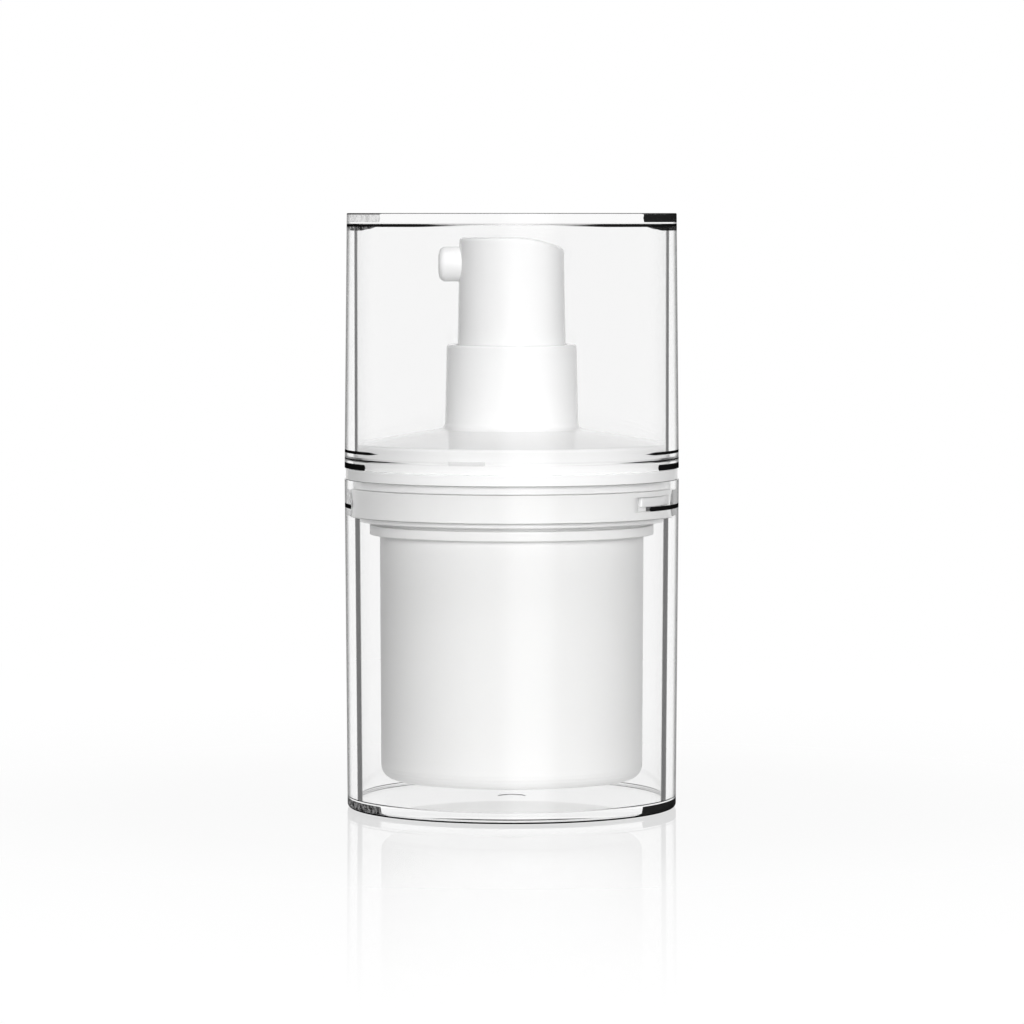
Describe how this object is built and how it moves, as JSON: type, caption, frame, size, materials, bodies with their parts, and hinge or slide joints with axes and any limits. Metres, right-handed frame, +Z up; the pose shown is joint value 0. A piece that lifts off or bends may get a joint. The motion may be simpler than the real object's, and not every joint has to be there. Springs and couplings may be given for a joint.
{
  "type": "pump bottle",
  "caption": "Refillable airless pump bottle: clear outer base, clear over-cap, white pump with a side nozzle, and a refill cartridge that twists out of a bayonet ring.",
  "frame": {"origin": "centre of the base's underside, on the bottle's axis", "axes": "+Z up the bottle's axis; the nozzle points along -X; the side the picture shows faces -Y"},
  "size_m": [0.048, 0.048, 0.0853],
  "materials": {
    "clear_acrylic": "polished, clear as glass",
    "white_gloss": "glossy white moulding",
    "white_satin": "satin white moulding",
    "natural_plastic": "natural, slightly waxy",
    "elastomer": "matte grey seal",
    "spring_steel": "bright drawn steel"
  },
  "bodies": {
    "base": {"base_vessel": "clear_acrylic", "lock_ring": "white_satin"},
    "refill": {"shoulder_collar": "white_gloss", "cartridge": "white_satin", "cartridge_gasket": "elastomer", "pump_deck": "white_satin", "pump_housing": "natural_plastic", "housing_gasket": "elastomer", "chaplet": "white_satin", "stem_seal": "elastomer", "return_spring": "spring_steel"},
    "cap": {"over_cap": "clear_acrylic"},
    "stem": {"pump_stem": "white_satin", "piston_rod": "white_satin"},
    "piston": {"pump_piston": "natural_plastic"},
    "head": {"actuator": "white_gloss", "nozzle_valve": "elastomer", "nozzle_insert": "white_satin"},
    "follower": {"follower_piston": "natural_plastic"},
    "ball": {"inlet_ball": "spring_steel"}
  },
  "joints": [
    {"name": "refill_turn", "type": "hinge", "parent": "base", "child": "refill", "pos_m": [0, 0, 0.04735], "axis": [0, 0, 1], "range_deg": [0, 27]},
    {"name": "cap_lift", "type": "slide", "parent": "refill", "child": "cap", "axis": [0, 0, 1], "range_m": [0, 0.04]},
    {"name": "pump_press", "type": "slide", "parent": "refill", "child": "stem", "axis": [0, 0, -1], "range_m": [0, 0.0042], "stiffness_N_per_m": 2000, "springref_m": -0.004, "deforming": ["return_spring"]},
    {"name": "piston_slip", "type": "slide", "parent": "stem", "child": "piston", "axis": [0, 0, 1], "range_m": [0, 0.0006]},
    {"name": "head_turn", "type": "hinge", "parent": "stem", "child": "head", "pos_m": [0, 0, 0.06], "axis": [0, 0, 1], "continuous": true},
    {"name": "follower_rise", "type": "slide", "parent": "refill", "child": "follower", "axis": [0, 0, 1], "range_m": [0, 0.0295]},
    {"name": "ball_lift", "type": "slide", "parent": "refill", "child": "ball", "axis": [0, 0, 1], "range_m": [0, 0.0009]}
  ]
}
